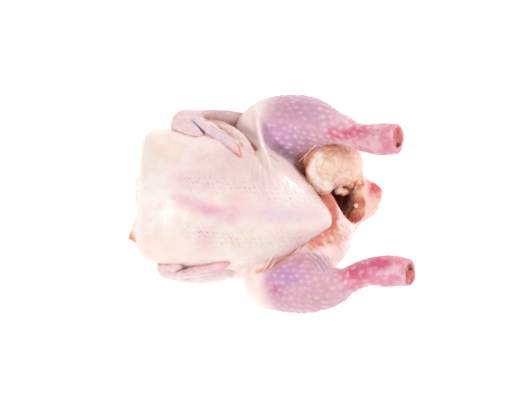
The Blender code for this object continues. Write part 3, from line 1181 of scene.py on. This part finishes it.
def sculpt_fat():
    """The lump of belly fat with its roll, its crumbs and the creases between lobes."""
    clay = Clay((20, -8, 8), (96, 74, 92), FAT_VOXEL)
    clay.add(clay.limb(FAT_PAD))
    clay.add(clay.limb(FAT_ROLL), 2.5)
    clay.cut(clay.limb(along_top(clay, FAT_FOLD)), 2)
    for x, y, z, radius in FAT_CRUMBS:
        clay.add(clay.ball((x, y, z), (radius, radius, radius)), 1.5)
    fat = Sculpt(clay, FAT_PALE)
    points = fat.points
    x, y, z = points.T
    warp = np.column_stack([noise(points, 9, 61 + side) for side in range(3)])
    lobes = np.abs(layered_noise(points + 5 * warp, 15, 5, 2))
    edge = ramp(y, 32, 20)
    relief = 1.2 * ramp(lobes, 0, 0.2) - 1 + 0.5 * layered_noise(points, 6, 6)
    relief += 1.4 * edge * layered_noise(points, 6, 7, 2)
    # painted shade towards the fat's top, below the leg, and towards its left
    fat.wash(FAT_TOP_SHADE, 0.9 * ramp(y, 39, 52))
    fat.wash(FAT_TAN_SHADE, 0.5 * ramp(x, 74, 60) * ramp(y, 34, 46))
    fat.wash(FAT_LOW, 0.8 * ramp(z, 52, 38))
    # painted shade in the creases between lobes
    fat.wash(FAT_CREASE_SHADE, 0.45 * ramp(lobes, 0.06, 0.0))
    # the roll's own cream, painted up into a highlight
    fat.stroke(FAT_ROLL_CREAM_HIGHLIGHT, 1.1, [(42, 43), (38, 30), (42, 20), (50, 16)], 17)
    fat.stroke(FAT_ORANGE, 1.1, [(35, 46), (30, 30), (35, 14)], 8)
    # painted shade on the undersides of the crumbs at the ragged edge
    underside_shade = ramp(layered_noise(points, 6, 8), -0.2, 0.2) * ramp(z, 60, 52)
    fat.wash(FAT_UNDERSIDE_SHADE, 1.2 * edge * underside_shade)
    fat.raise_by(relief)
    return fat


def sculpt_stump(cut, seed):
    """The meat and bone that show where a foot was cut off."""
    point, facing = (np.asarray(part, float) for part in cut)
    facing = unit(facing)
    clay = Clay(point - 14, point + 14, STUMP_VOXEL)
    clay.add(clay.ball(point - 1.5 * facing, (10, 10, 10)))
    clay.cut(clay.half_space(point - 0.7 * facing, facing), 1.5)
    stump = Sculpt(clay, MEAT_RED)
    points = stump.points
    lobes = layered_noise(points, 6, seed, 2)
    slits = ramp(lobes, -0.18, -0.36)
    on_face = ramp(stump.normals() @ facing, 0.5, 0.9)
    stump.raise_by(on_face * (1.6 * lobes - 1.8 * slits))
    # painted highlight on the raised lobes, over the meat's paler red
    stump.wash(MEAT_LOBE_HIGHLIGHT, 0.5 * ramp(lobes, 0.2, 0.6))
    stump.wash(MEAT_ROSY, 0.7 * ramp(noise(points, 4, seed + 5), 0, 0.6))
    # painted shade in the sunk slits, over the meat's dark red
    stump.wash(MEAT_SLIT_SHADE, slits)
    return stump


def sculpt_vent():
    """The wall of fat and flesh on the tail's side of the vent."""
    clay = Clay((60, -28, 22), (94, 38, 54), FAT_VOXEL)
    clay.add(clay.limb(TAIL_WALL))
    vent = Sculpt(clay, WALL_PEACH)
    points = vent.points
    z, y = points[:, 2], points[:, 1]
    lumps = layered_noise(points, 10, 52, 2)
    bits = layered_noise(points, 5, 54, 2)
    vent.raise_by(1.8 * lumps + 1.1 * bits)
    # painted highlight on the wall's raised bits and painted shade in its dents
    vent.wash(WALL_BUMP_HIGHLIGHT, 0.8 * ramp(bits, 0.05, 0.5))
    vent.wash(WALL_DENT_SHADE, 0.7 * ramp(-bits, 0.05, 0.5))
    vent.wash(WALL_RED, (0.9 + 0.8 * lumps) * ramp(z - 0.5 * y, 37, 45))
    return vent


# -------------------- the wings
LEFT_FOREARM = [
    (-22, 72, 38, 10, 10),
    (-34, 72.5, 40, 11.5, 12),
    (-50, 73, 43, 12, 13),
    (-68, 74, 48, 11, 12),
    (-78, 74, 52, 10.5, 11),
    (-82, 72, 55, 8, 9),
]
LEFT_HAND = [
    (-80, 72, 60, 7, 7),
    (-72, 72, 66, 7, 7),
    (-60, 69.5, 73, 7, 6),
    (-49.5, 63, 79, 6.2, 5.5),
    (-38.7, 56, 85, 5.4, 4.8),
    (-33, 50, 90, 4, 3.6),
    (-28, 43, 93, 1.6, 1.6),
]
LEFT_THUMB = [
    (-84, 70, 62, 5, 4),
    (-77, 68, 70, 6.5, 4.5),
    (-69, 65, 77, 6, 4),
    (-64, 63.5, 80, 4.6, 3.4),
]
# The slit between the left thumb and the hand: x, y, half width and depth
LEFT_SLIT = [
    (-70.5, 74.5, 0.5, 1),
    (-67, 71.5, 0.6, 2),
    (-63.5, 67.5, 0.8, 3),
    (-60.5, 64.5, 1.4, 5),
]
LEFT_FLAP = [
    (-54, 73.5, 68, 2, 3),
    (-43, 70, 74, 3.6, 3),
    (-34, 64, 79, 4.6, 2.4),
    (-26, 57, 83, 5, 1.8),
    (-20, 49, 86, 4, 1.2),
    (-15, 43, 86, 2, 0.8),
]
RIGHT_FOREARM = [
    (-36, -58, 33, 7, 9),
    (-46, -59, 34, 10.5, 11),
    (-62, -60, 38, 12, 12),
    (-80, -59.5, 42, 11.5, 11.5),
    (-93, -57, 47, 10, 10),
]
RIGHT_HAND = [
    (-94, -58.5, 55, 6.5, 7),
    (-80, -61, 60, 5.5, 6.5),
    (-66, -60, 64, 5, 6),
    (-52, -57.5, 68, 5, 5.5),
    (-44, -54.5, 72, 4.6, 4.6),
    (-40, -53, 74, 3.4, 3.4),
]
RIGHT_SLIT = [
    (-85, -60.5, 0.5, 1),
    (-80, -58.5, 0.8, 3),
    (-74, -56, 1.4, 5),
]
RIGHT_THUMB = [
    (-98, -57, 58, 4.6, 4.4),
    (-90, -56.5, 64, 4.4, 4.4),
    (-82, -57, 68, 3.6, 3.8),
]


def laid_on(body, stations):
    """The stations, raised where they'd sink by more than a third into the body."""
    raised = []
    for x, y, z, half_width, half_thickness in stations:
        lowest = body.top_of(x, y) + 0.3 * half_thickness
        raised.append((x, y, max(z, lowest), half_width, half_thickness))
    return raised


def wing_clay(body, forms, slit, low, high, up):
    """A folded wing: its forearm, then the other forms, each with how softly it joins."""
    clay = Clay(low, high, WING_VOXEL)
    forearm, *others = forms
    clay.add(clay.limb(forearm))
    for stations, blend in others:
        clay.add(clay.limb(laid_on(body, stations), up), blend)
    clay.cut(clay.limb(along_top(clay, slit)), 0.4)
    return clay


def left_wing_clay(body):
    forms = (LEFT_FOREARM, (LEFT_HAND, 1.5), (LEFT_THUMB, 0.6), (LEFT_FLAP, 0.6))
    low, high = (-110, 24, 20), (-6, 98, 114)
    return wing_clay(body, forms, LEFT_SLIT, low, high, (0, 0.5, 0.86))


def right_wing_clay(body):
    forms = (RIGHT_FOREARM, (RIGHT_HAND, 1.5), (RIGHT_THUMB, 0.6))
    low, high = (-116, -86, 16), (-12, -36, 96)
    return wing_clay(body, forms, RIGHT_SLIT, low, high, (0, -0.5, 0.86))


def sculpt_wing(clay, seed):
    """A wing's surface with the skin that both wings have."""
    wing = Sculpt(clay, WING_PALE)
    points = wing.points
    relief = 0.7 * layered_noise(points, 7, seed) + 0.4 * layered_noise(points, 3, seed + 3)
    skin_grain = np.column_stack([points[:, 0] / 4.4, points[:, 1] / 3.2])
    relief += 0.25 * np.exp(-((spots(skin_grain, 0.3, seed) / 0.25) ** 2))
    wing.raise_by(relief)
    wing.mark("wet", 0.5 * ramp(layered_noise(points, 8, seed + 5), 0, 0.4))
    wing.mark("follicle", 0.8 * ramp(layered_noise(points, 14, seed + 7), -0.2, 0.3))
    wing.wash(ROSE, 0.5 * ramp(layered_noise(points, 12, seed + 6), -0.1, 0.4))
    return wing


def sculpt_left_wing(clay):
    wing = sculpt_wing(clay, 41)
    x, y, z = wing.points.T
    wing.wash(WING_SHADE, 0.9 * ramp(z, 66, 54) * ramp(x, -68, -50))
    wing.stroke(WING_TAN, 0.8, [(-58, 77), (-40, 74), (-24, 70)], 9)
    # painted shade in the gap between the flap and the knee
    wing.wash(WING_GAP_SHADE, ramp(x, -44, -36) * ramp(y, 73, 66) * ramp(z, 72, 64))
    wing.stroke(WING_LILAC, 0.8, [(-68, 71), (-50, 63), (-38, 55)], 9)
    wing.stroke(WING_CREAM, 0.9, [(-50, 72), (-33, 62), (-22, 50)], 6)
    wing.stroke(WING_RED, 0.35, [(-54, 70), (-38, 61), (-28, 50)], 2.6)
    # painted shade in the slit between the thumb and the hand
    wing.stroke(LEFT_SLIT_SHADE, 0.6, [place[:2] for place in LEFT_SLIT], 3)
    wing.stroke(PINK, 0.6, [(-59, 63), (-41, 52), (-27, 40)], 5)
    wing.patch(LEFT_TIP_PINK, 0.9, (-27, 41), (12, 8), -55)
    return wing


def sculpt_right_wing(clay):
    wing = sculpt_wing(clay, 61)
    wing.wash(WHITE, 0.5 * ramp(wing.points[:, 1], -62, -68))
    # painted shade in the slit between the thumb and the hand
    wing.stroke(RIGHT_SLIT_SHADE, 0.6, [place[:2] for place in RIGHT_SLIT], 3)
    wing.stroke(PINK, 0.7, [(-72, -55), (-50, -52), (-40, -50)], 5)
    wing.patch(RIGHT_TIP_PINK, 0.9, (-39, -51), (11, 8), 25)
    return wing


# -------------------- strands of skin
# Each strand: where it starts and ends, seen from above, its radius, and how far its
# middle stands clear of the straight line between its ends
STRANDS = [
    ((2.2, -44.6), (-8, -62), 1.0, 0.5),
    ((4.5, -50), (-3.6, -62), 0.9, 0.8),
    ((14.4, -46), (6.3, -58), 0.9, 0.6),
    ((27, -37.5), (19, -46), 0.8, 0.6),
    ((41, 56), (18, 42), 0.9, -3),
    ((40, 53), (23, 36), 0.8, -4),
    ((37, 50), (14, 44), 0.7, -3),
    ((-8, 50), (1, 24), 0.9, 0.4),
    ((-7, 50), (-3, 26), 0.8, 0.4),
    ((-6, 50), (8, 28), 0.8, 0.3),
    ((-6, 48), (14, 34), 0.7, 0.3),
]


def sculpt_strands(body):
    """Thin strands of torn skin, each from one spot on the body's top to another."""
    clay = Clay((-24, -70, 30), (44, 60, 110), STRAND_VOXEL)
    for start, stop, radius, lift in STRANDS:
        ends = [np.array((*end, body.top_of(*end) - 0.4)) for end in (start, stop)]
        middle = (ends[0] + ends[1]) / 2 + (0, 0, lift)
        path = [ends[0], middle, ends[1]]
        sizes = [radius * 0.8, radius * 0.8, STRAND_TIP]
        stations = [(*place, size, size) for place, size in zip(path, sizes)]
        clay.add(clay.limb(stations), 0.5)
    strands = Sculpt(clay, STRAND_CREAM)
    strands.raise_by(0.15 * layered_noise(strands.points, 3, 71))
    return strands


# -------------------- lamps, floor, camera
# Soft round lamps: name, place and width in metres, power in watts. The glint is small
# and low, for the wet highlight near the breast's tip
LAMPS = [
    ("key", (-0.8, -0.65, 1.6), 0.6, 10),
    ("fill", (1.0, 0.7, 1.5), 0.8, 4),
    ("glint", (1.25, 0.9, 0.46), 0.24, 5),
]
FLOOR_SIZE = 12
FLOOR_GLOW = 0.4
SKY_GLOW = 0.62


def add_lamp(name, place, width, power):
    """A round lamp that shines towards the bird."""
    data = bpy.data.lights.new(name, "AREA")
    data.shape = "DISK"
    data.size = width
    data.energy = power
    made = bpy.data.objects.new(name, data)
    made.location = place
    made.rotation_euler = made.location.to_track_quat("Z", "Y").to_euler()
    bpy.context.scene.collection.objects.link(made)


def build_studio():
    """A white paper floor that glows a little, a soft white sky and the lamps."""
    bpy.ops.mesh.primitive_plane_add(size=FLOOR_SIZE)
    floor = bpy.context.active_object
    floor.name = "floor"
    paper = Shader("white_paper", Roughness=0.9)
    grain = paper.noise(0.004, 2.0)
    paper.finish(paper.spread(grain, 0.0, 1.0, 0.9, 0.94), grain, 0.00002)
    paper.set(paper.surface, "Emission_Color", (1, 1, 1, 1))
    paper.set(paper.surface, "Emission_Strength", FLOOR_GLOW)
    floor.data.materials.append(paper.material)

    world = bpy.data.worlds.new("soft_white")
    world.use_nodes = True
    background = world.node_tree.nodes["Background"]
    background.inputs["Color"].default_value = (1, 1, 1, 1)
    background.inputs["Strength"].default_value = SKY_GLOW
    bpy.context.scene.world = world

    for lamp in LAMPS:
        add_lamp(*lamp)
    bpy.context.scene.view_settings.view_transform = "Standard"


def add_camera():
    """A long lens straight above; the field is as wide as the picture at mid height."""
    field = 0.4608
    mid_height = 0.055
    distance = 2.5
    beside_bird = (-0.0135, 0.0036)  # the picture isn't centred on the bird
    data = bpy.data.cameras.new("camera")
    data.lens = data.sensor_width * (distance - mid_height) / field
    camera = bpy.data.objects.new("camera", data)
    camera.location = (*beside_bird, distance)
    bpy.context.scene.collection.objects.link(camera)
    bpy.context.scene.camera = camera


# -------------------- assembly
def build_bird():
    """Every piece of the bird, in and around the CAD solid's box."""
    margin = 4.0
    low, high = (np.array(corner) / MM + (0, 0, SINK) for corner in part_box("chicken"))
    clay = build_body_clay(low - margin, high + margin)
    left, right = left_wing_clay(clay), right_wing_clay(clay)
    skin = skin_material()
    body = sculpt_skin(clay, (left, right)).finished("skin", skin)
    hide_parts("chicken")
    flesh = flesh_material()
    sculpt_fat().finished("belly_fat", fat_material())
    sculpt_vent().finished("vent_flesh", flesh)
    sculpt_stump(LEFT_CUT, 81).finished("left_shank_end", flesh)
    sculpt_stump(RIGHT_CUT, 91).finished("right_shank_end", flesh)
    sculpt_left_wing(left).finished("left_wing", skin)
    sculpt_right_wing(right).finished("right_wing", skin)
    sculpt_strands(clay).finished("skin_strands", skin)


def main():
    build_bird()
    build_studio()
    add_camera()


main()
